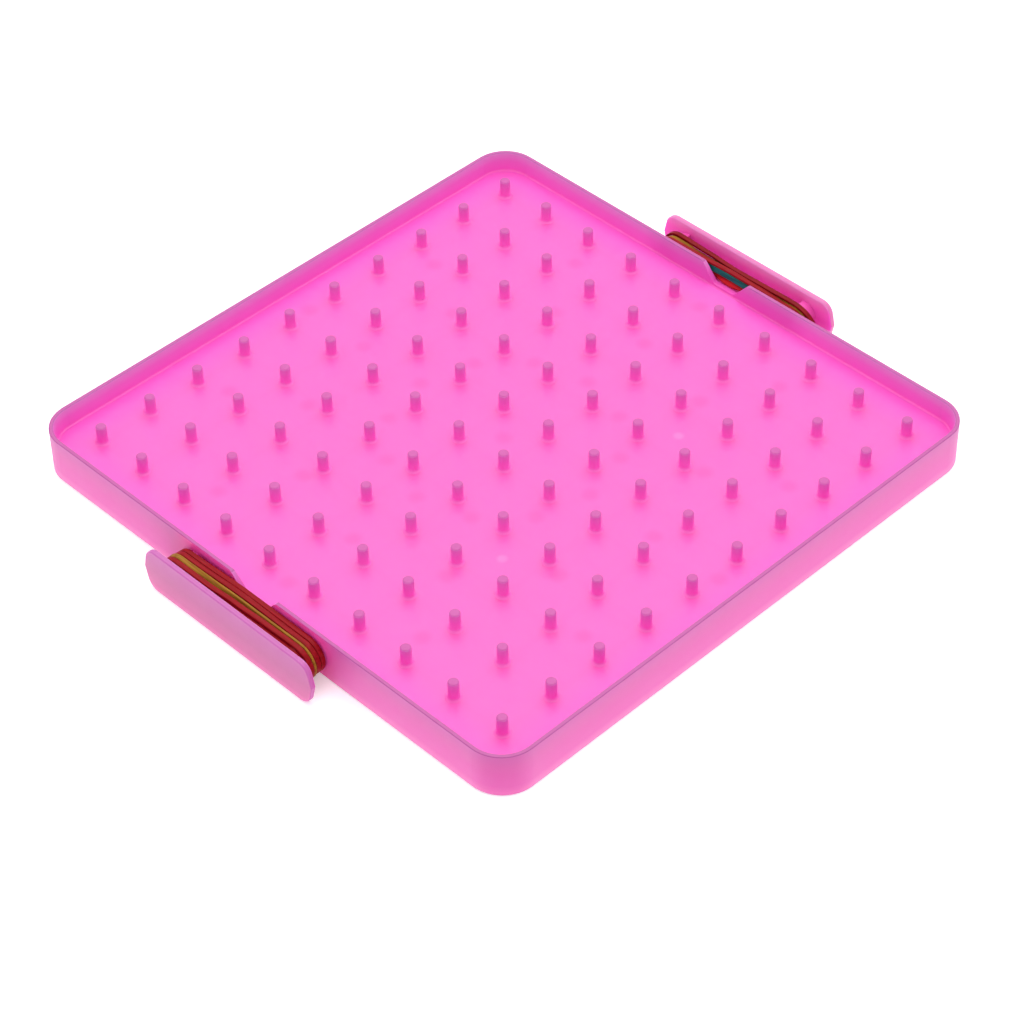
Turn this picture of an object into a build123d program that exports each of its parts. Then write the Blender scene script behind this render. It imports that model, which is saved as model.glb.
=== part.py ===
"""Double-sided geoboard with a rubber-band cleat on two opposite sides.

One face of the tray has a square grid of pegs. The other face has a centre peg and three rings of
pegs. Each cleat is a plate that stands off the wall on a flat tongue with a half-round post at each
end, and the spare rubber bands are wound round the two posts. A notch in the wall behind each cleat,
above and below the floor, lets a finger reach the bands.

Frame: millimetres, +Z up, origin at the middle of the underside. The cleats face -Y (near) and +Y (far).
"""
from build123d import *

import math
import os

os.makedirs("parts", exist_ok=True)

# ---------------------------------------------------------------- driving dimensions, millimetres
PITCH = 22.0  # square grid, peg centre to peg centre
GRID_COUNT = 10  # pegs along each side of the grid
EDGE_MARGIN = 16.75  # outermost peg centre to the board's outer face

PEG_D = 3.9
PEG_H = 7.2
PEG_TIP_ROUND = 0.6

RING_COUNT = 3  # rings of pegs on the underside, about one centre peg
RING_PEGS = 12  # pegs in each ring
RING_STEP = 29.6  # from one ring's radius to the next
RING_MARGIN = 14.55  # outermost ring's radius to the board's outer face

BOARD_H = 17.6  # lower rim to upper rim
FLOOR_T = 1.8
CORNER_R = 13.5  # outer radius of the board's corners, in plan
RIM_T = 1.5  # wall thickness at both rims
WALL_ROOT_T = 2.1  # wall thickness at the floor
WALL_COVE = 0.8  # radius between wall and floor
RIM_ROUND = 0.35

NOTCH_MOUTH_W = 22.0  # finger notch, at the rim
NOTCH_FOOT_W = 10.0  # finger notch, at its foot
NOTCH_SILL = 0.9  # wall left standing above the floor's surface in the notch, more than WALL_COVE
NOTCH_MOUTH_ROUND = 2.6
NOTCH_FOOT_ROUND = 1.8

CLEAT_GAP = 10.4  # wall's outer face to the cleat plate
PLATE_T = 2.2
PLATE_W = 83.0  # at mid height, where the mould parts
PLATE_EDGE_W = 79.0  # at the plate's top and bottom edges
PLATE_CORNER_R = 5.0
PLATE_ROUND = 0.5

POST_SPAN = 57.6  # between the centres of a tongue's two half-round posts
POST_LAND = 1.0  # straight part of a post, inside its half round

BAND_W = 1.9  # width of a rubber band, along Y
BAND_T = 1.0  # thickness of a rubber band
BAND_ROUND = 0.25
BAND_CLEAR = 0.2  # post to the first layer of bands, and first layer to second
BAND_SIDE_GAP = 0.3  # between bands that lie side by side
COIL_RECESS = 1.2  # outer layer of bands to the level of the board's rims

# The bands wound round each tongue. The first layer is listed from the wall outwards. A second-layer
# band crosses the first layer: it lies over the first-layer places given for its -X end and its +X end.
NEAR_FIRST_LAYER = ("near_band_red_1", "near_band_red_2", "near_band_red_3", "near_band_red_4")
NEAR_SECOND_LAYER = {"near_band_ochre": (2.25, 1.3)}
NEAR_WALL_SHARE = 0.4  # how much of the spare room in the gap is on the wall's side of the coil
FAR_FIRST_LAYER = ("far_band_orange", "far_band_teal", "far_band_red")
FAR_SECOND_LAYER = {"far_band_ochre": (0.0, 0.6), "far_band_crimson": (1.0, 1.65)}
FAR_WALL_SHARE = 0.15
SLACK = {"far_band_orange": 2.8}  # how far a slack band's strands bow in towards the tongue at mid-length

# ---------------------------------------------------------------- worked out from those
GRID_SPAN = (GRID_COUNT - 1) * PITCH
HALF_BOARD = GRID_SPAN / 2 + EDGE_MARGIN
MID_Z = BOARD_H / 2
FLOOR_TOP = MID_Z + FLOOR_T / 2
FLOOR_BOTTOM = MID_Z - FLOOR_T / 2
ROOT_REACH = WALL_ROOT_T + WALL_COVE  # outer face to where a wall's foot meets the floor panel
CORNER_CENTRE = HALF_BOARD - CORNER_R
PLATE_INNER_Y = HALF_BOARD + CLEAT_GAP
LAYER_STEP = BAND_T + BAND_CLEAR
POST_R = MID_Z - COIL_RECESS - 2 * LAYER_STEP
FIRST_LAYER_R = POST_R + BAND_CLEAR  # inner radius of the first layer's end turns
SECOND_LAYER_R = FIRST_LAYER_R + LAYER_STEP

ALONG_X = Plane(origin=(0, 0, 0), x_dir=(0, 1, 0), z_dir=(1, 0, 0))  # sketch x is +Y, sketch y is +Z
ELEVATION = Plane(origin=(0, 0, 0), x_dir=(1, 0, 0), z_dir=(0, -1, 0))  # sketch x is +X, sketch y is +Z


def save(name, *solids):
    """Write one node, as one solid or as a group of separate solids."""
    shape = solids[0] if len(solids) == 1 else Compound(children=list(solids))
    export_step(shape, f"parts/{name}.step")


# ---------------------------------------------------------------- tray
def floor_panel():
    """The flat floor, between the feet of the walls."""
    width = 2 * (HALF_BOARD - ROOT_REACH)
    outline = RectangleRounded(width, width, CORNER_R - ROOT_REACH)
    return Pos(0, 0, FLOOR_BOTTOM) * extrude(outline, FLOOR_T)


def wall_section():
    """A wall's section: x inwards from the outer face, y up, thickest at the floor, with a cove each side."""
    upper_cove = FLOOR_TOP + WALL_COVE
    lower_cove = FLOOR_BOTTOM - WALL_COVE
    outline = [
        Polyline((WALL_ROOT_T, lower_cove), (RIM_T, 0), (0, 0), (0, BOARD_H), (RIM_T, BOARD_H),
                 (WALL_ROOT_T, upper_cove)),
        RadiusArc((WALL_ROOT_T, upper_cove), (ROOT_REACH, FLOOR_TOP), -WALL_COVE),
        Line((ROOT_REACH, FLOOR_TOP), (ROOT_REACH, FLOOR_BOTTOM)),
        RadiusArc((ROOT_REACH, FLOOR_BOTTOM), (WALL_ROOT_T, lower_cove), -WALL_COVE),
    ]
    face = make_face(outline)
    rims = [v for v in face.vertices() if min(v.Y, BOARD_H - v.Y) < 1e-6]
    return fillet(rims, RIM_ROUND)


def notch_outline():
    """The upper finger notch in elevation, run on past the rim, for cutting out of a wall."""
    foot = FLOOR_TOP + NOTCH_SILL
    over = BOARD_H + 2 * NOTCH_MOUTH_ROUND
    mouth, half_foot = NOTCH_MOUTH_W / 2, NOTCH_FOOT_W / 2
    outline = make_face(Polyline((-half_foot, foot), (half_foot, foot), (mouth, BOARD_H), (mouth, over),
                                 (-mouth, over), (-mouth, BOARD_H), close=True))
    feet = [v for v in outline.vertices() if abs(v.Y - foot) < 1e-6]
    return fillet(feet, NOTCH_FOOT_ROUND)


def wall_elevation(notched):
    """The outline of the -Y wall as seen square on, with its two finger notches if it has them."""
    panel = Pos(0, MID_Z) * Rectangle(2 * CORNER_CENTRE, BOARD_H)
    if not notched:
        return panel
    upper = notch_outline()
    lower = Pos(0, BOARD_H) * mirror(upper, Plane.XZ)
    panel = panel - upper - lower
    half_mouth = NOTCH_MOUTH_W / 2
    mouths = [v for v in panel.vertices()
              if abs(abs(v.X) - half_mouth) < 1e-3 and min(v.Y, BOARD_H - v.Y) < 1e-3]
    return fillet(mouths, NOTCH_MOUTH_ROUND)


def side_wall(notched):
    """The straight wall on the -Y side, from corner to corner."""
    length = 2 * CORNER_CENTRE
    bar = Pos(-CORNER_CENTRE, -HALF_BOARD, 0) * extrude(ALONG_X * wall_section(), length)
    cutter = Pos(0, -HALF_BOARD + ROOT_REACH, 0) * extrude(ELEVATION * wall_elevation(notched), ROOT_REACH)
    return bar & cutter


def corner(quarter_turns):
    """One rounded corner of the wall, turned to its place."""
    section = Pos(CORNER_CENTRE, -HALF_BOARD, 0) * (ALONG_X * wall_section())
    axis = Axis((CORNER_CENTRE, -CORNER_CENTRE, 0), (0, 0, 1))
    return Rot(0, 0, 90 * quarter_turns) * revolve(section, axis=axis, revolution_arc=90)


# ---------------------------------------------------------------- pegs
def peg():
    """One peg standing on z = 0, with a rounded tip."""
    shank = extrude(Circle(PEG_D / 2), PEG_H)
    tip = shank.edges().sort_by(Axis.Z)[-1]
    return fillet(tip, PEG_TIP_ROUND)


def grid_row(row):
    """One row of the square grid, along X. Row 0 is the nearest."""
    y = -GRID_SPAN / 2 + row * PITCH
    return [Pos(-GRID_SPAN / 2 + i * PITCH, y, FLOOR_TOP) * peg() for i in range(GRID_COUNT)]


def underside_peg(x, y):
    return Pos(x, y, FLOOR_BOTTOM) * Rot(180, 0, 0) * peg()


def peg_ring(radius):
    angles = [2 * math.pi * k / RING_PEGS for k in range(RING_PEGS)]
    return [underside_peg(radius * math.cos(a), radius * math.sin(a)) for a in angles]


# ---------------------------------------------------------------- cleats, built on the -Y side
def cleat_plate():
    """The plate that keeps the bands on: widest at mid height, with rounded corners and edges."""
    half_edge, half_mid = PLATE_EDGE_W / 2, PLATE_W / 2
    outline = make_face(Polyline((-half_edge, 0), (half_edge, 0), (half_mid, MID_Z), (half_edge, BOARD_H),
                                 (-half_edge, BOARD_H), (-half_mid, MID_Z), close=True))
    corners = [v for v in outline.vertices() if min(v.Y, BOARD_H - v.Y) < 1e-6]
    plate = extrude(ELEVATION * fillet(corners, PLATE_CORNER_R), PLATE_T)
    return Pos(0, -PLATE_INNER_Y, 0) * fillet(plate.edges(), PLATE_ROUND)


def tongue_web():
    """The flat tongue that carries the plate on the line of the floor."""
    length = POST_SPAN - 2 * POST_LAND
    return Pos(0, -HALF_BOARD - CLEAT_GAP / 2, MID_Z) * Box(length, CLEAT_GAP, FLOOR_T)


def tongue_post(side):
    """A half-round post at one end of the tongue, side -1 or +1."""
    outline = make_face([
        Polyline((0, POST_R), (-POST_LAND, POST_R), (-POST_LAND, -POST_R), (0, -POST_R)),
        ThreePointArc((0, -POST_R), (POST_R, 0), (0, POST_R)),
    ])
    post = extrude(ELEVATION * outline, CLEAT_GAP)
    if side < 0:
        post = mirror(post, Plane.YZ)
    return Pos(side * POST_SPAN / 2, -HALF_BOARD, MID_Z) * post


# ---------------------------------------------------------------- rubber bands, built on the -Y side
def loop_outline(radius, bow):
    """The outline of a loop round both posts. A bowed loop is two end turns and two shallow arcs, all tangent."""
    if not bow:
        return SlotCenterToCenter(POST_SPAN, 2 * radius)
    half, waist = POST_SPAN / 2, radius - bow
    bow_r = (half ** 2 + waist ** 2 - radius ** 2) / (2 * bow)
    share = radius / (radius + bow_r)  # where the arcs meet, on the line between their centres
    x, y = half * (1 - share), (waist + bow_r) * share
    return make_face([
        ThreePointArc((-x, y), (0, waist), (x, y)),
        ThreePointArc((x, y), (half + radius, 0), (x, -y)),
        ThreePointArc((x, -y), (0, -waist), (-x, -y)),
        ThreePointArc((-x, -y), (-half - radius, 0), (-x, y)),
    ])


def band_loop(inner_r, bow=0.0):
    """One band stretched round both posts, centred on the origin."""
    section = loop_outline(inner_r + BAND_T, bow) - loop_outline(inner_r, bow)
    loop = extrude(ELEVATION * section, BAND_W / 2, both=True)
    return fillet(loop.edges(), BAND_ROUND)


def first_layer_offset(place, count, wall_share):
    """Distance from the wall's outer face to the centre of a band at a place in the first layer."""
    pack = count * BAND_W + (count - 1) * BAND_SIDE_GAP
    wall_gap = (CLEAT_GAP - pack) * wall_share
    return wall_gap + BAND_W / 2 + place * (BAND_W + BAND_SIDE_GAP)


def coil(first_layer, second_layer, wall_share):
    """Every band on one tongue, as {name: solid}, on the -Y side."""
    count = len(first_layer)
    bands = {}
    for place, name in enumerate(first_layer):
        y = -HALF_BOARD - first_layer_offset(place, count, wall_share)
        bands[name] = Pos(0, y, MID_Z) * band_loop(FIRST_LAYER_R, SLACK.get(name, 0.0))
    for name, (left_place, right_place) in second_layer.items():
        y_left = -HALF_BOARD - first_layer_offset(left_place, count, wall_share)
        y_right = -HALF_BOARD - first_layer_offset(right_place, count, wall_share)
        turn = math.degrees(math.atan2(y_right - y_left, POST_SPAN))
        bands[name] = Pos(0, (y_left + y_right) / 2, MID_Z) * Rot(0, 0, turn) * band_loop(SECOND_LAYER_R)
    return bands


# ---------------------------------------------------------------- write every node
NEAR, FAR = Rot(0, 0, 0), Rot(0, 0, 180)

save("floor_panel", floor_panel())
save("wall_near", NEAR * side_wall(notched=True))
save("wall_far", FAR * side_wall(notched=True))
save("wall_right", Rot(0, 0, 90) * side_wall(notched=False))
save("wall_left", Rot(0, 0, -90) * side_wall(notched=False))
save("wall_corners", *[corner(quarter) for quarter in range(4)])

for row in range(GRID_COUNT):
    save(f"grid_peg_row_{row + 1:02d}", *grid_row(row))
save("underside_centre_peg", underside_peg(0, 0))
outer_ring_r = HALF_BOARD - RING_MARGIN
for ring in range(RING_COUNT):
    save(f"underside_peg_ring_{ring + 1}", *peg_ring(outer_ring_r - (RING_COUNT - 1 - ring) * RING_STEP))

for side_name, turn in (("near", NEAR), ("far", FAR)):
    save(f"{side_name}_cleat_plate", turn * cleat_plate())
    save(f"{side_name}_tongue_web", turn * tongue_web())
    save(f"{side_name}_tongue_posts", turn * tongue_post(-1), turn * tongue_post(1))

for name, band in coil(NEAR_FIRST_LAYER, NEAR_SECOND_LAYER, NEAR_WALL_SHARE).items():
    save(name, NEAR * band)
for name, band in coil(FAR_FIRST_LAYER, FAR_SECOND_LAYER, FAR_WALL_SHARE).items():
    save(name, FAR * band)
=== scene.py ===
"""Looks for the double-sided geoboard.

Translucent pink plastic, coves at the pegs' feet, the rubber bands and a white studio. Everything is in
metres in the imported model's own frame. MM turns the millimetre values below into metres.
"""
import math

import bmesh
import bpy
from mathutils import Matrix, Vector


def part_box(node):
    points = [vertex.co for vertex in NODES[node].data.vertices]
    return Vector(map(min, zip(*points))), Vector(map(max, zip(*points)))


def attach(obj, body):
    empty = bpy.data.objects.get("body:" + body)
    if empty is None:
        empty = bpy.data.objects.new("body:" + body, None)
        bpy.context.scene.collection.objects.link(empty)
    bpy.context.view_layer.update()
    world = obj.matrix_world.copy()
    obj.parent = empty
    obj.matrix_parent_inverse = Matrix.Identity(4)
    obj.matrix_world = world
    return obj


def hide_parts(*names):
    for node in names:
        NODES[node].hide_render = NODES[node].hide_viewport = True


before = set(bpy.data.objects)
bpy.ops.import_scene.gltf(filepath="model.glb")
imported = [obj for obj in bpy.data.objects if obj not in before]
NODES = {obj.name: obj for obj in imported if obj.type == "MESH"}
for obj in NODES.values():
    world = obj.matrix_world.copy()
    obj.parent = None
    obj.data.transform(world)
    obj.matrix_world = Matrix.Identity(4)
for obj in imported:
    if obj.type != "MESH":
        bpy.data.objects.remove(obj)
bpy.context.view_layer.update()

MM = 0.001

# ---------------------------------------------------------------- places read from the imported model
FLOOR_LOW, FLOOR_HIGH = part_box("floor_panel")
WALL_LOW, WALL_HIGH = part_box("wall_near")
PEG_ROWS = [name for name in NODES if name.startswith("grid_peg_row")]
ROW_LOW, ROW_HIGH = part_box(PEG_ROWS[0])
RINGS = sorted(name for name in NODES if name.startswith("underside_peg_ring"))
POSTS_LOW, POSTS_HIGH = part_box("near_tongue_posts")

BOARD_H = WALL_HIGH.z
MID_Z = BOARD_H / 2
HALF_BOARD = -WALL_LOW.y
FLOOR_TOP, FLOOR_BOTTOM = FLOOR_HIGH.z, FLOOR_LOW.z
PEG_R = (ROW_HIGH.y - ROW_LOW.y) / 2
PEG_TIP = ROW_HIGH.z
PEG_H = PEG_TIP - FLOOR_TOP
PEGS_A_SIDE = len(PEG_ROWS)
GRID_HALF = ROW_HIGH.x - PEG_R
PITCH = 2 * GRID_HALF / (PEGS_A_SIDE - 1)
RING_PEGS = 12
RING_RADII = [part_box(name)[1].x - PEG_R for name in RINGS]
RING_STEP = RING_RADII[1] - RING_RADII[0]
POST_R = (POSTS_HIGH.z - POSTS_LOW.z) / 2
POST_X = POSTS_HIGH.x - POST_R  # centre of the half-round post at each end of a tongue

# ---------------------------------------------------------------- camera
CAMERA_PLACE = Vector((574.64, -556.66, 716.8)) * MM
CAMERA_TARGET = Vector((28.87, -24.81, 9.7)) * MM
CAMERA_ROLL = math.radians(-0.97)
CAMERA_LENS = 107.64


def add_camera():
    forward = (CAMERA_TARGET - CAMERA_PLACE).normalized()
    level = forward.cross(Vector((0, 0, 1))).normalized()
    over = level.cross(forward)
    right = level * math.cos(CAMERA_ROLL) + over * math.sin(CAMERA_ROLL)
    up = right.cross(forward)
    data = bpy.data.cameras.new("camera")
    data.lens = CAMERA_LENS
    data.sensor_width = 36
    data.clip_start = 0.01
    data.clip_end = 20
    camera = bpy.data.objects.new("camera", data)
    axes = Matrix((right, up, -forward)).transposed().to_4x4()
    camera.matrix_world = Matrix.Translation(CAMERA_PLACE) @ axes
    bpy.context.scene.collection.objects.link(camera)
    bpy.context.scene.camera = camera


# ---------------------------------------------------------------- short names for shader nodes
class Paint:
    """One material under construction. A socket or a plain number can be given wherever a value is wanted."""

    def __init__(self, name):
        self.material = bpy.data.materials.new(name)
        self.material.use_nodes = True
        self.tree = self.material.node_tree
        self.shader = self.tree.nodes["Principled BSDF"]
        coords = self.tree.nodes.new("ShaderNodeTexCoord")
        self.place, self.normal = coords.outputs["Object"], coords.outputs["Normal"]
        self.x, self.y, self.z = self.split(self.place)
        self.facing = self.split(self.normal)

    def link(self, value, socket):
        if isinstance(value, bpy.types.NodeSocket):
            self.tree.links.new(value, socket)
        else:
            socket.default_value = value

    def split(self, vector):
        node = self.tree.nodes.new("ShaderNodeSeparateXYZ")
        self.link(vector, node.inputs[0])
        return node.outputs

    def math(self, operation, *values):
        node = self.tree.nodes.new("ShaderNodeMath")
        node.operation = operation
        for value, socket in zip(values, node.inputs):
            self.link(value, socket)
        return node.outputs[0]

    def times(self, a, b):
        return self.math("MULTIPLY", a, b)

    def less(self, a, b):
        return self.math("SUBTRACT", a, b)

    def unsigned(self, value):
        return self.math("ABSOLUTE", value)

    def apart(self, a, b):
        """How far a is from b."""
        return self.unsigned(self.less(a, b))

    def repeat(self, value, half):
        """Value brought into the span from -half to half, over and over."""
        return self.math("WRAP", value, half, -half)

    def length(self, a, b):
        return self.math("SQRT", self.math("ADD", self.math("POWER", a, 2), self.math("POWER", b, 2)))

    def fade(self, value, start, end):
        """0 at start, 1 at end, smooth between."""
        node = self.tree.nodes.new("ShaderNodeMapRange")
        node.interpolation_type = "SMOOTHSTEP"
        self.link(value, node.inputs["Value"])
        low, high = (start, end) if start < end else (end, start)
        node.inputs["From Min"].default_value = low
        node.inputs["From Max"].default_value = high
        node.inputs["To Min"].default_value = 0 if start < end else 1
        node.inputs["To Max"].default_value = 1 if start < end else 0
        return node.outputs["Result"]

    def ramp(self, value, stops):
        """Colour by value: stops is a list of (value, colour), with rising values."""
        low, high = stops[0][0], stops[-1][0]
        share = self.tree.nodes.new("ShaderNodeMapRange")
        self.link(value, share.inputs["Value"])
        share.inputs["From Min"].default_value = low
        share.inputs["From Max"].default_value = high
        node = self.tree.nodes.new("ShaderNodeValToRGB")
        elements = node.color_ramp.elements
        while len(elements) < len(stops):
            elements.new(0.5)
        for element, (at, colour) in zip(elements, stops):
            element.position = (at - low) / (high - low)
            element.color = (*colour, 1)
        self.link(share.outputs["Result"], node.inputs["Fac"])
        return node.outputs["Color"]

    def mix(self, share, under, over, blend="MIX"):
        node = self.tree.nodes.new("ShaderNodeMix")
        node.data_type = "RGBA"
        node.blend_type = blend
        self.link(share, node.inputs["Factor"])
        for value, socket in ((under, node.inputs["A"]), (over, node.inputs["B"])):
            self.link((*value, 1) if isinstance(value, tuple) else value, socket)
        return node.outputs["Result"]

    def tint(self, share, colour, tint):
        """Colour multiplied by tint, as far as share says."""
        return self.mix(share, colour, tint, "MULTIPLY")

    def noise(self, size, stretch=(1, 1, 1), detail=2.0):
        """Noise of about this feature size in metres, drawn out along the axes by stretch."""
        scaled = self.tree.nodes.new("ShaderNodeMapping")
        self.link(self.place, scaled.inputs["Vector"])
        scaled.inputs["Scale"].default_value = [1 / (size * s) for s in stretch]
        node = self.tree.nodes.new("ShaderNodeTexNoise")
        self.link(scaled.outputs[0], node.inputs["Vector"])
        node.inputs["Scale"].default_value = 1
        node.inputs["Detail"].default_value = detail
        return node.outputs["Fac"]

    def bump(self, height, distance, strength=1.0):
        node = self.tree.nodes.new("ShaderNodeBump")
        node.inputs["Strength"].default_value = strength
        node.inputs["Distance"].default_value = distance
        self.link(height, node.inputs["Height"])
        self.link(node.outputs[0], self.shader.inputs["Normal"])


# ---------------------------------------------------------------- the board's plastic, with painted light and shade in its colours
SKIN_DEPTH = 0.35 * MM  # how far light scatters under the moulding's skin
PLATE_DEPTH = 4.0 * MM  # the same in the cleats' thin plates, which are lit through
MOTTLE_SHARE = 0.05

# Pairs give where something on the board's plastic is not yet seen and where it is seen in full.
SPOT_FADE = (4.6 * MM, 0.8 * MM)  # from the axis of an underside peg
RINGS_BEGIN = (24 * MM, 30 * MM)  # from the board's middle
RINGS_END = (RING_RADII[-1] + 13 * MM, RING_RADII[-1] + 9 * MM)
# how much painted shade the pegs under the floor cast through it
UNDERSIDE_PEG_SHADE_SHARE = 0.55
LINE_FADE = (1.8 * MM, 0.4 * MM)  # from the line through a row of pegs
LINE_SHARE = 0.07
PALE_SPOT_X, PALE_SPOT_Y = 42.8 * MM, 43.3 * MM  # two small paler spots on the floor, at this x, one on each side of the middle in y
PALE_SPOT_FADE = (2.6 * MM, 0.8 * MM)
PALE_SPOT_SHARE = 0.3
TIP_SHADE_FADE = (PEG_H - 1.4 * MM, PEG_H - 0.6 * MM)  # up a peg, near its tip, where the painted shade on its top comes in
CORNER_FADE = (HALF_BOARD - 16 * MM, HALF_BOARD - 6 * MM)
CORNER_SHARE = 0.8
COIL_FADE_X = (POST_X + 14 * MM, POST_X)
COIL_FADE_Y = (HALF_BOARD - 6 * MM, HALF_BOARD - 3 * MM)
COIL_SHARE = 0.85
RIM_SHADE_FADE = (8.2 * MM, 8.6 * MM)  # from the board's mid plane
RIM_EDGE_SHADE_FADE = (8.2 * MM, 8.5 * MM)
PLATE_EDGE_SHADE_SHARE = 0.8
PLATE_LINE_SHADE_SHARE = 0.7
TONGUE_END = 35 * MM


def finish_plastic(paint, colour, depth=SKIN_DEPTH):
    """Satin translucent plastic: light scattered under the skin, faint flow mottling, a fine moulded skin."""
    mottle = paint.fade(paint.noise(9 * MM, detail=3.0), 0.35, 0.65)
    colour = paint.tint(paint.times(mottle, MOTTLE_SHARE), colour, (1.0, 0.62, 0.9))
    shader = paint.shader
    paint.link(colour, shader.inputs["Base Color"])
    gloss = paint.math("ADD", 0.36, paint.times(paint.noise(3 * MM), 0.12))
    paint.link(gloss, shader.inputs["Roughness"])
    shader.inputs["IOR"].default_value = 1.47
    shader.inputs["Subsurface Weight"].default_value = 0.7 if depth else 0.0
    shader.inputs["Subsurface Radius"].default_value = (1.0, 0.8, 0.9)
    shader.inputs["Subsurface Scale"].default_value = depth
    paint.bump(paint.noise(0.5 * MM, detail=3.0), 0.02 * MM, 0.35)
    return paint.material


def floor_plastic():
    paint = Paint("plastic_floor")
    across, along = paint.unsigned(paint.x), paint.unsigned(paint.y)
    from_wall = paint.less(HALF_BOARD, paint.math("MAXIMUM", across, along))
    colour = paint.ramp(from_wall, [
        (3 * MM, (0.82, 0.098, 0.53)),
        (7 * MM, (0.82, 0.100, 0.50)),
        (16 * MM, (0.82, 0.104, 0.46)),
        (60 * MM, (0.82, 0.103, 0.445)),
    ])
    # painted shade: the pegs under the floor show through it as soft darker spots, where they block the light
    # coming through
    radius = paint.length(paint.x, paint.y)
    turn = paint.repeat(paint.math("ARCTAN2", paint.y, paint.x), math.pi / RING_PEGS)
    off_line = paint.times(radius, paint.math("SINE", turn))
    off_ring = paint.repeat(paint.less(radius, RING_RADII[0]), RING_STEP / 2)
    ring_peg_shade = paint.fade(paint.length(off_line, off_ring), *SPOT_FADE)
    in_rings = paint.times(paint.fade(radius, *RINGS_BEGIN), paint.fade(radius, *RINGS_END))
    underside_peg_shade = paint.math("MAXIMUM", paint.times(ring_peg_shade, in_rings), paint.fade(radius, *SPOT_FADE))
    colour = paint.tint(paint.times(underside_peg_shade, UNDERSIDE_PEG_SHADE_SHARE), colour, (0.93, 0.62, 0.82))
    # faint lines run from peg to peg
    for axis in (paint.x, paint.y):
        from_line = paint.unsigned(paint.repeat(paint.math("ADD", axis, PITCH / 2), PITCH / 2))
        line = paint.fade(from_line, *LINE_FADE)
        colour = paint.tint(paint.times(line, LINE_SHARE), colour, (1.0, 0.75, 0.9))
    # two small paler spots on the floor
    from_pale_spot = paint.length(paint.less(paint.x, PALE_SPOT_X), paint.less(along, PALE_SPOT_Y))
    pale_spot = paint.fade(from_pale_spot, *PALE_SPOT_FADE)
    colour = paint.mix(paint.times(pale_spot, PALE_SPOT_SHARE), colour, (1.0, 0.28, 0.60))
    return finish_plastic(paint, colour)


def peg_plastic():
    paint = Paint("plastic_pegs")
    height = paint.less(paint.z, FLOOR_TOP)
    # painted light and shade: pinker and brighter at the foot, darker and more lilac towards the tip
    colour = paint.ramp(height, [
        (0.0, (0.88, 0.125, 0.54)),
        (1.2 * MM, (0.86, 0.125, 0.57)),
        (0.55 * PEG_H, (0.75, 0.115, 0.52)),
        (PEG_H, (0.60, 0.150, 0.48)),
    ])
    # painted shade on the up-facing top of each tip
    up_facing = paint.fade(paint.facing[2], 0.35, 0.9)
    tip_shade = paint.times(up_facing, paint.fade(height, *TIP_SHADE_FADE))
    colour = paint.mix(tip_shade, colour, (0.49, 0.072, 0.32))
    return finish_plastic(paint, colour)


def underside_peg_plastic():
    paint = Paint("plastic_underside_pegs")
    depth = paint.less(FLOOR_BOTTOM, paint.z)
    # painted shade: darker and less pink towards the tips, as on the grid pegs
    colour = paint.ramp(depth, [
        (0.0, (0.88, 0.11, 0.46)),
        (2.4 * MM, (0.78, 0.11, 0.44)),
        (PEG_H, (0.66, 0.16, 0.43)),
    ])
    return finish_plastic(paint, colour)


def cove_plastic():
    """The coves blend floor and peg, so their plastic scatters nothing and takes its colours from both."""
    paint = Paint("plastic_coves")
    height = paint.math("MINIMUM", paint.apart(paint.z, FLOOR_TOP), paint.apart(paint.z, FLOOR_BOTTOM))
    colour = paint.ramp(height, [
        (0.0, (0.82, 0.106, 0.475)),
        (0.35 * MM, (0.83, 0.112, 0.50)),
        (COVE_R, (0.84, 0.125, 0.56)),
    ])
    return finish_plastic(paint, colour, depth=0.0)


def wall_plastic():
    paint = Paint("plastic_walls")
    across, along = paint.unsigned(paint.x), paint.unsigned(paint.y)
    from_middle = paint.apart(paint.z, MID_Z)
    # painted light: the inner faces lighter and pinker near the floor, greyer towards the rim
    inner = paint.ramp(from_middle, [
        (0.9 * MM, (0.88, 0.105, 0.52)),
        (2.0 * MM, (0.84, 0.120, 0.58)),
        (5.0 * MM, (0.76, 0.140, 0.56)),
        (MID_Z, (0.64, 0.26, 0.58)),
    ])
    # painted light: the outer faces lighter towards the bottom, where light from the white table comes through
    outer = paint.ramp(paint.z, [
        (0.0, (0.84, 0.24, 0.53)),
        (4.0 * MM, (0.70, 0.128, 0.43)),
        (9.0 * MM, (0.64, 0.106, 0.385)),
        (13.0 * MM, (0.59, 0.104, 0.36)),
        (BOARD_H, (0.51, 0.102, 0.35)),
    ])
    round_corner = paint.fade(paint.math("MINIMUM", across, along), *CORNER_FADE)
    outer = paint.tint(paint.times(round_corner, CORNER_SHARE), outer, (0.88, 0.62, 0.84))
    # less light comes through the wall behind a coil of bands, and what does is redder
    by_coil = paint.times(paint.fade(across, *COIL_FADE_X), paint.fade(along, *COIL_FADE_Y))
    inner = paint.tint(by_coil, inner, (0.88, 0.70, 0.84))
    outer = paint.mix(paint.times(by_coil, COIL_SHARE), outer, (0.98, 0.070, 0.44))
    outward = paint.math("ADD", paint.times(paint.facing[0], paint.x), paint.times(paint.facing[1], paint.y))
    colour = paint.mix(paint.fade(outward, -0.02, 0.04), inner, outer)
    slope = paint.unsigned(paint.facing[2])
    # painted shade on the flat tops of the rims
    rim_shade = paint.times(paint.fade(slope, 0.55, 0.95), paint.fade(from_middle, *RIM_SHADE_FADE))
    colour = paint.mix(rim_shade, colour, (0.44, 0.080, 0.30))
    # painted shade: the rounded edges of the rim read as thin darker lines
    edge = paint.times(paint.fade(slope, 0.12, 0.35), paint.fade(slope, 0.97, 0.80))
    edge = paint.times(edge, paint.fade(from_middle, *RIM_EDGE_SHADE_FADE))
    colour = paint.tint(edge, colour, (0.72, 0.60, 0.76))
    return finish_plastic(paint, colour)


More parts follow.
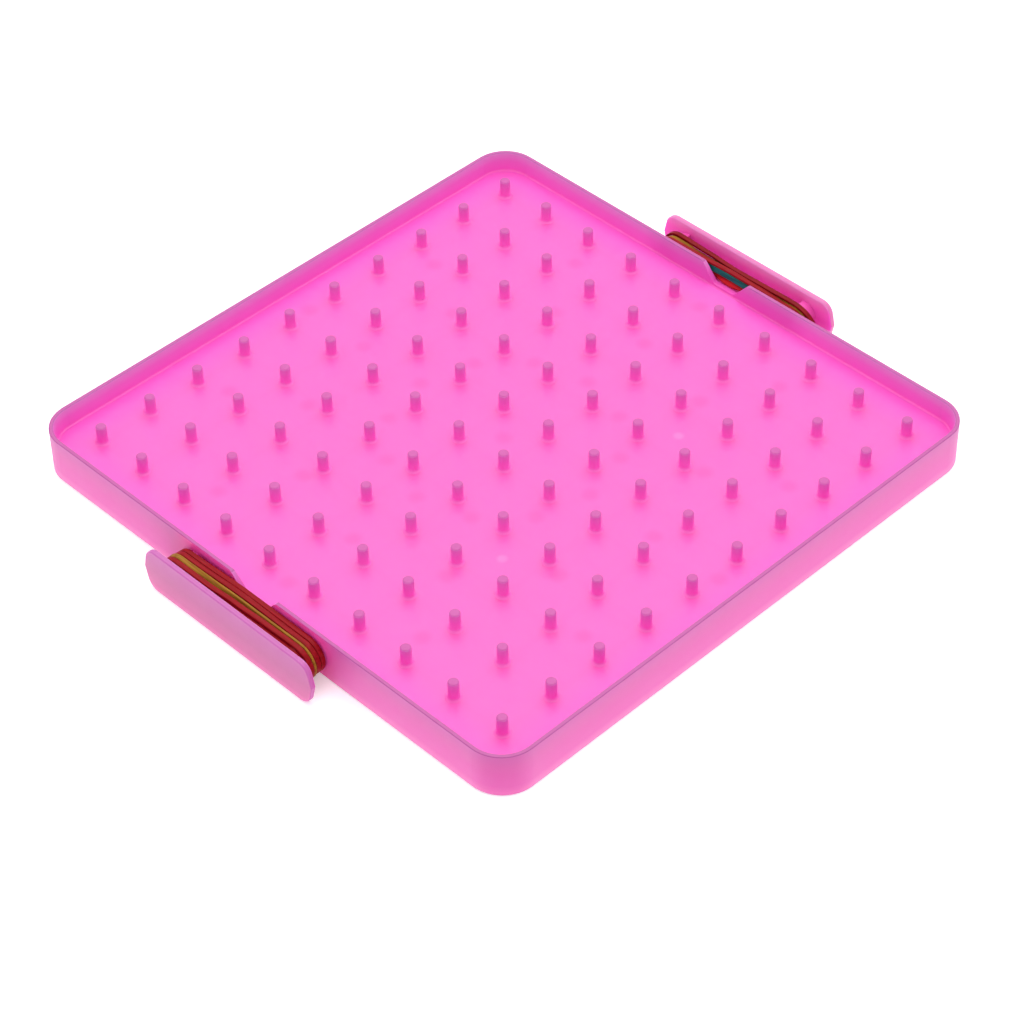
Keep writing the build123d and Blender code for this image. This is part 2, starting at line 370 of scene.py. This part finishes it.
def plate_plastic():
    paint = Paint("plastic_plates")
    # painted light: the outer faces lighter towards the bottom, where light from the white table comes through
    outer = paint.ramp(paint.z, [
        (0.0, (0.74, 0.20, 0.44)),
        (3.0 * MM, (0.58, 0.14, 0.34)),
        (9.0 * MM, (0.47, 0.115, 0.29)),
        (BOARD_H, (0.44, 0.110, 0.33)),
    ])
    # painted light: the inner faces glow bright pink near the board's mid height, lit through from behind,
    # greyer towards top and bottom
    inner = paint.ramp(paint.apart(paint.z, MID_Z), [
        (0.0, (0.96, 0.11, 0.64)),
        (4.0 * MM, (0.95, 0.15, 0.64)),
        (MID_Z, (0.70, 0.26, 0.52)),
    ])
    outward = paint.times(paint.facing[1], paint.math("SIGN", paint.y))
    colour = paint.mix(paint.fade(outward, -0.4, 0.2), inner, outer)
    # painted shade: the plates' top, bottom and end faces darker, the near plate's more than the far one's
    bend = paint.unsigned(paint.facing[1])
    edge = paint.fade(bend, 0.75, 0.35)
    edge_shade_colour = paint.mix(paint.fade(paint.y, -1 * MM, 1 * MM), (0.42, 0.095, 0.33), (0.56, 0.15, 0.34))
    colour = paint.mix(paint.times(edge, PLATE_EDGE_SHADE_SHARE), colour, edge_shade_colour)
    # painted shade: thin darker lines along the plates' rounded edges
    line = paint.times(paint.fade(bend, 0.15, 0.4), paint.fade(bend, 0.95, 0.75))
    colour = paint.tint(paint.times(line, PLATE_LINE_SHADE_SHARE), colour, (0.82, 0.66, 0.84))
    return finish_plastic(paint, colour, PLATE_DEPTH)


def tongue_plastic():
    paint = Paint("plastic_tongues")
    across = paint.unsigned(paint.x)
    colour = paint.ramp(across, [(0.0, (0.90, 0.085, 0.46)), (TONGUE_END, (0.76, 0.080, 0.42))])
    return finish_plastic(paint, colour)


def dress(name, material):
    NODES[name].data.materials.clear()
    NODES[name].data.materials.append(material)


def dress_board():
    """Gives every node of the moulding its plastic."""
    walls, plates, tongues = wall_plastic(), plate_plastic(), tongue_plastic()
    grid_pegs, underside_pegs = peg_plastic(), underside_peg_plastic()
    dress("floor_panel", floor_plastic())
    for name in NODES:
        if name.startswith("wall_"):
            dress(name, walls)
        elif name.startswith("grid_peg"):
            dress(name, grid_pegs)
        elif name.startswith("underside_"):
            dress(name, underside_pegs)
        elif name.endswith("_plate"):
            dress(name, plates)
        elif "_tongue_" in name:
            dress(name, tongues)


# ---------------------------------------------------------------- mesh helpers
def new_piece(name, bm, material, body, slot):
    """A mesh piece from bm, with outward normals and smooth shading, holding its material, on its body."""
    bmesh.ops.recalc_face_normals(bm, faces=bm.faces)
    mesh = bpy.data.meshes.new(name)
    bm.to_mesh(mesh)
    bm.free()
    mesh.polygons.foreach_set("use_smooth", [True] * len(mesh.polygons))
    mesh.materials.append(material)
    piece = bpy.data.objects.new(name, mesh)
    bpy.context.scene.collection.objects.link(piece)
    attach(piece, body)
    return piece


def join_rings(bm, rings):
    """Faces between each ring of vertices and the next, and from the last ring to the first."""
    for k, ring in enumerate(rings):
        after = rings[(k + 1) % len(rings)]
        for i in range(len(ring)):
            j = (i + 1) % len(ring)
            bm.faces.new((ring[i], ring[j], after[j], after[i]))


# ---------------------------------------------------------------- coves at the pegs' feet
COVE_R = 0.9 * MM
COVE_SINK = 0.12 * MM  # how far a cove reaches into the peg and the floor that it joins
COVE_STEPS = 6
COVE_SECTORS = 28


def cove_section():
    """Half section, as (distance from the peg's axis, height above the floor), closed inside peg and floor."""
    section = []
    for step in range(COVE_STEPS + 1):
        a = math.pi / 2 * step / COVE_STEPS
        section.append((PEG_R + COVE_R * (1 - math.sin(a)), COVE_R * (1 - math.cos(a))))
    inner_r, outer_r = PEG_R - COVE_SINK, PEG_R + COVE_R
    return section + [(inner_r, COVE_R), (inner_r, -COVE_SINK), (outer_r, -COVE_SINK)]


def add_coves(name, centres, floor_z, up, material):
    bm = bmesh.new()
    section = cove_section()
    for x, y in centres:
        rings = []
        for k in range(COVE_SECTORS):
            a = 2 * math.pi * k / COVE_SECTORS
            rings.append([bm.verts.new((x + r * math.cos(a), y + r * math.sin(a), floor_z + up * h))
                          for r, h in section])
        join_rings(bm, rings)
    new_piece(name, bm, material, "board", "board_plastic")


def grid_centres():
    steps = [-GRID_HALF + k * PITCH for k in range(PEGS_A_SIDE)]
    return [(x, y) for y in steps for x in steps]


def underside_centres():
    angles = [2 * math.pi * k / RING_PEGS for k in range(RING_PEGS)]
    return [(0, 0)] + [(r * math.cos(a), r * math.sin(a)) for r in RING_RADII for a in angles]


# ---------------------------------------------------------------- rubber bands
BAND_W = 1.9 * MM
BAND_T = 1.0 * MM
BAND_ROUND = 0.28 * MM
STRAND_STEPS = 72  # stations along a straight strand
TURN_STEPS = 26  # stations round an end turn
CORNER_STEPS = 3  # steps round a corner of the band's section
WAVE_PLACE, WAVE_REACH = 0.03 * MM, 0.02 * MM  # small waves along a band
WAVE_TWIST = 1.2  # the same in its twist, in degrees
WAVE_STEP = 1.3  # how much the waves' phase moves from one band to the next

# One row a band: three or five values each, evenly spaced from the tongue's -X end to its +X end.
# place: millimetres from the wall's outer face to the band's middle. reach: millimetres from the tongue's mid
# plane. twist: degrees, 0 with the band lying flat. swell: how much wider the band is at mid-length.
# slack: how far the end turns at -X and +X stand off further than the straight strands do.
NEAR_BANDS = {
    "near_band_red_1": dict(place=(2.33, 1.65, 1.65), reach=(6.60, 6.84, 6.40), twist=(0, -2, 1)),
    "near_band_red_2": dict(place=(4.36, 3.64, 3.68), reach=(6.70, 6.80, 6.44), twist=(1, 1, -1)),
    "near_band_ochre": dict(place=(6.42, 6.12, 5.55, 5.45, 5.40), reach=(6.95, 6.70, 6.36, 6.32, 6.28),
                            twist=(-2, -42, -76, -82, -86)),
    "near_band_red_3": dict(place=(8.44, 8.40, 7.62, 7.20, 7.06), reach=(6.94, 6.94, 6.94), twist=(1, 2, -1)),
    "near_band_red_4": dict(place=(8.40, 8.40, 8.40), reach=(5.78, 5.78, 5.78), twist=(0, -2, 1)),
}
FAR_BANDS = {
    "far_band_red": dict(place=(1.55, 1.85, 2.42, 2.28, 1.55), reach=(6.94, 6.94, 6.94), twist=(0, 1, 0)),
    "far_band_crimson": dict(place=(5.62, 5.16, 4.50, 4.27, 3.95), reach=(7.12, 7.06, 6.94, 7.30, 7.86),
                             twist=(-1, 1, 1), slack=(0, 2.6)),
    "far_band_ochre": dict(place=(3.60, 3.88, 4.50, 3.90, 3.12), reach=(6.26, 5.50, 5.50, 5.60, 6.26),
                           twist=(2, 0, 0, 30, 88), slack=(0, 2.2)),
    "far_band_teal": dict(place=(1.58, 1.66, 1.75, 1.65, 1.58), reach=(5.78, 5.00, 5.05, 5.00, 5.78),
                          twist=(0, 60, 84, 72, 0), swell=0.5),
    "far_band_orange": dict(place=(6.08, 3.75, 1.65, 4.20, 4.42), reach=(5.77, 2.40, 2.65, 3.30, 6.26),
                            twist=(0, 5, 35, 30, 88), swell=0.9),
}

RUBBERS = {
    "red": ((0.200, 0.002, 0.005), (0.285, 0.004, 0.010)),
    "crimson": ((0.160, 0.002, 0.005), (0.230, 0.005, 0.010)),
    "ochre": ((0.210, 0.085, 0.008), (0.330, 0.155, 0.018)),
    "teal": ((0.003, 0.075, 0.068), (0.012, 0.150, 0.135)),
    "orange": ((0.400, 0.004, 0.010), (0.560, 0.008, 0.018)),
}


def band_colour(name):
    return name.split("_band_")[1].split("_")[0]


def rubber(name, dark, light):
    """Plain rubber with a dusting of powder, streaked along the band, and a faintly ribbed skin."""
    paint = Paint("rubber_" + name)
    streaks = paint.fade(paint.noise(0.7 * MM, stretch=(14, 1, 1), detail=4.0), 0.3, 0.7)
    colour = paint.mix(streaks, dark, light)
    dust = paint.fade(paint.noise(1.6 * MM, stretch=(3, 1, 1), detail=5.0), 0.58, 0.80)
    colour = paint.mix(paint.times(dust, 0.03), colour, (0.75, 0.55, 0.5))
    shader = paint.shader
    paint.link(colour, shader.inputs["Base Color"])
    paint.link(paint.math("ADD", 0.40, paint.times(dust, 0.25)), shader.inputs["Roughness"])
    shader.inputs["IOR"].default_value = 1.5
    shader.inputs["Specular IOR Level"].default_value = 0.09
    shader.inputs["Subsurface Weight"].default_value = 0.15
    shader.inputs["Subsurface Radius"].default_value = (1.0, 0.3, 0.2)
    shader.inputs["Subsurface Scale"].default_value = 0.5 * MM
    paint.bump(paint.noise(0.35 * MM, stretch=(20, 1, 1), detail=3.0), 0.05 * MM, 0.6)
    return paint.material


def ease(values, x):
    """Value at x from those given at even steps from -POST_X to +POST_X, level at each of them."""
    spans = len(values) - 1
    share = max(0.0, min(1.0, (x / POST_X + 1) / 2)) * spans
    k = min(int(share), spans - 1)
    share -= k
    return values[k] + (values[k + 1] - values[k]) * share * share * (3 - 2 * share)


def loop_stations():
    """(x of the nearest point between the posts, outward direction) all the way round the tongue."""
    stations = []
    for k in range(STRAND_STEPS):
        stations.append((POST_X * (2 * k / STRAND_STEPS - 1), Vector((0, 0, 1))))
    for k in range(TURN_STEPS):
        a = math.pi / 2 - math.pi * k / TURN_STEPS
        stations.append((POST_X, Vector((math.cos(a), 0, math.sin(a)))))
    for k in range(STRAND_STEPS):
        stations.append((POST_X * (1 - 2 * k / STRAND_STEPS), Vector((0, 0, -1))))
    for k in range(TURN_STEPS):
        a = -math.pi / 2 - math.pi * k / TURN_STEPS
        stations.append((-POST_X, Vector((math.cos(a), 0, math.sin(a)))))
    return stations


def band_section(width):
    """The band's section, flat side along the first axis: a rectangle with rounded corners."""
    points = []
    for quarter in range(4):
        cx = (width / 2 - BAND_ROUND) * (1 if quarter in (0, 3) else -1)
        cy = (BAND_T / 2 - BAND_ROUND) * (1 if quarter in (0, 1) else -1)
        for step in range(CORNER_STEPS + 1):
            a = math.pi / 2 * (quarter + step / CORNER_STEPS)
            points.append((cx + BAND_ROUND * math.cos(a), cy + BAND_ROUND * math.sin(a)))
    return points


def add_band(name, side, shape, phase, material):
    """A closed loop of rubber round one tongue. side is -1 for the near tongue and +1 for the far one."""
    bm = bmesh.new()
    rings = []
    slack = shape.get("slack", (0, 0))
    stations = loop_stations()
    for k, (x, outward) in enumerate(stations):
        round_share = 2 * math.pi * k / len(stations)
        place = ease(shape["place"], x) * MM + WAVE_PLACE * math.sin(3 * round_share + phase)
        reach = ease(shape["reach"], x) * MM + WAVE_REACH * math.sin(5 * round_share + 2 * phase)
        twist = math.radians(ease(shape["twist"], x) + WAVE_TWIST * math.sin(4 * round_share + 3 * phase))
        middle = Vector((x, side * (HALF_BOARD + place), MID_Z)) + outward * reach
        middle.x += slack[1] * MM * max(0, outward.x) + slack[0] * MM * min(0, outward.x)
        away = Vector((0, side, 0))
        flat = away * math.cos(twist) + outward * math.sin(twist)
        thick = outward * math.cos(twist) - away * math.sin(twist)
        swell = shape.get("swell", 0.0) * MM * ease((0, 1, 0), x)
        rings.append([bm.verts.new(middle + flat * a + thick * b) for a, b in band_section(BAND_W + swell)])
    join_rings(bm, rings)
    piece = new_piece(name + "_rubber", bm, material, name, "band_" + band_colour(name))
    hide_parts(name)


def add_bands():
    rubbers = {name: rubber(name, dark, light) for name, (dark, light) in RUBBERS.items()}
    for side, bands in ((-1, NEAR_BANDS), (1, FAR_BANDS)):
        for k, (name, shape) in enumerate(bands.items()):
            add_band(name, side, shape, WAVE_STEP * k + side, rubbers[band_colour(name)])


# ---------------------------------------------------------------- stage and light
TABLE_HALF = 3.0
TABLE_DROP = 0.2 * MM  # keeps the table just clear of the lower rims
TABLE_GLOW = 0.3  # lifts the object's shadow on the white table
WORLD_STRENGTH = 1.1
OVERHEAD_PLACE = (-0.3, 0.4, 1.4)
OVERHEAD_SIZE = (1.4, 1.4)
OVERHEAD_POWER = 13


def add_stage():
    mesh = bpy.data.meshes.new("table")
    corners = [(x * TABLE_HALF, y * TABLE_HALF, 0) for x, y in ((-1, -1), (1, -1), (1, 1), (-1, 1))]
    mesh.from_pydata(corners, [], [(0, 1, 2, 3)])
    table = bpy.data.objects.new("table", mesh)
    table.location.z = -TABLE_DROP
    bpy.context.scene.collection.objects.link(table)
    paint = Paint("white_table")
    paint.shader.inputs["Base Color"].default_value = (0.95, 0.95, 0.95, 1)
    paint.shader.inputs["Roughness"].default_value = 0.8
    paint.shader.inputs["Emission Color"].default_value = (1, 1, 1, 1)
    paint.shader.inputs["Emission Strength"].default_value = TABLE_GLOW
    table.data.materials.append(paint.material)


def add_area(name, place, target, size, power):
    data = bpy.data.lights.new(name, "AREA")
    data.shape = "RECTANGLE"
    data.size, data.size_y = size
    data.energy = power
    light = bpy.data.objects.new(name, data)
    light.location = place
    light.rotation_euler = (Vector(target) - Vector(place)).to_track_quat("-Z", "Y").to_euler()
    bpy.context.scene.collection.objects.link(light)


def add_light():
    world = bpy.data.worlds.new("studio")
    world.use_nodes = True
    world.node_tree.nodes["Background"].inputs["Color"].default_value = (1, 1, 1, 1)
    world.node_tree.nodes["Background"].inputs["Strength"].default_value = WORLD_STRENGTH
    bpy.context.scene.world = world
    add_area("overhead", OVERHEAD_PLACE, (0, 0, 0), OVERHEAD_SIZE, OVERHEAD_POWER)
    bpy.context.scene.view_settings.view_transform = "Standard"


add_camera()
add_bands()
dress_board()
cove_finish = cove_plastic()
add_coves("grid_peg_coves", grid_centres(), FLOOR_TOP, 1, cove_finish)
add_coves("underside_peg_coves", underside_centres(), FLOOR_BOTTOM, -1, cove_finish)
add_stage()
add_light()
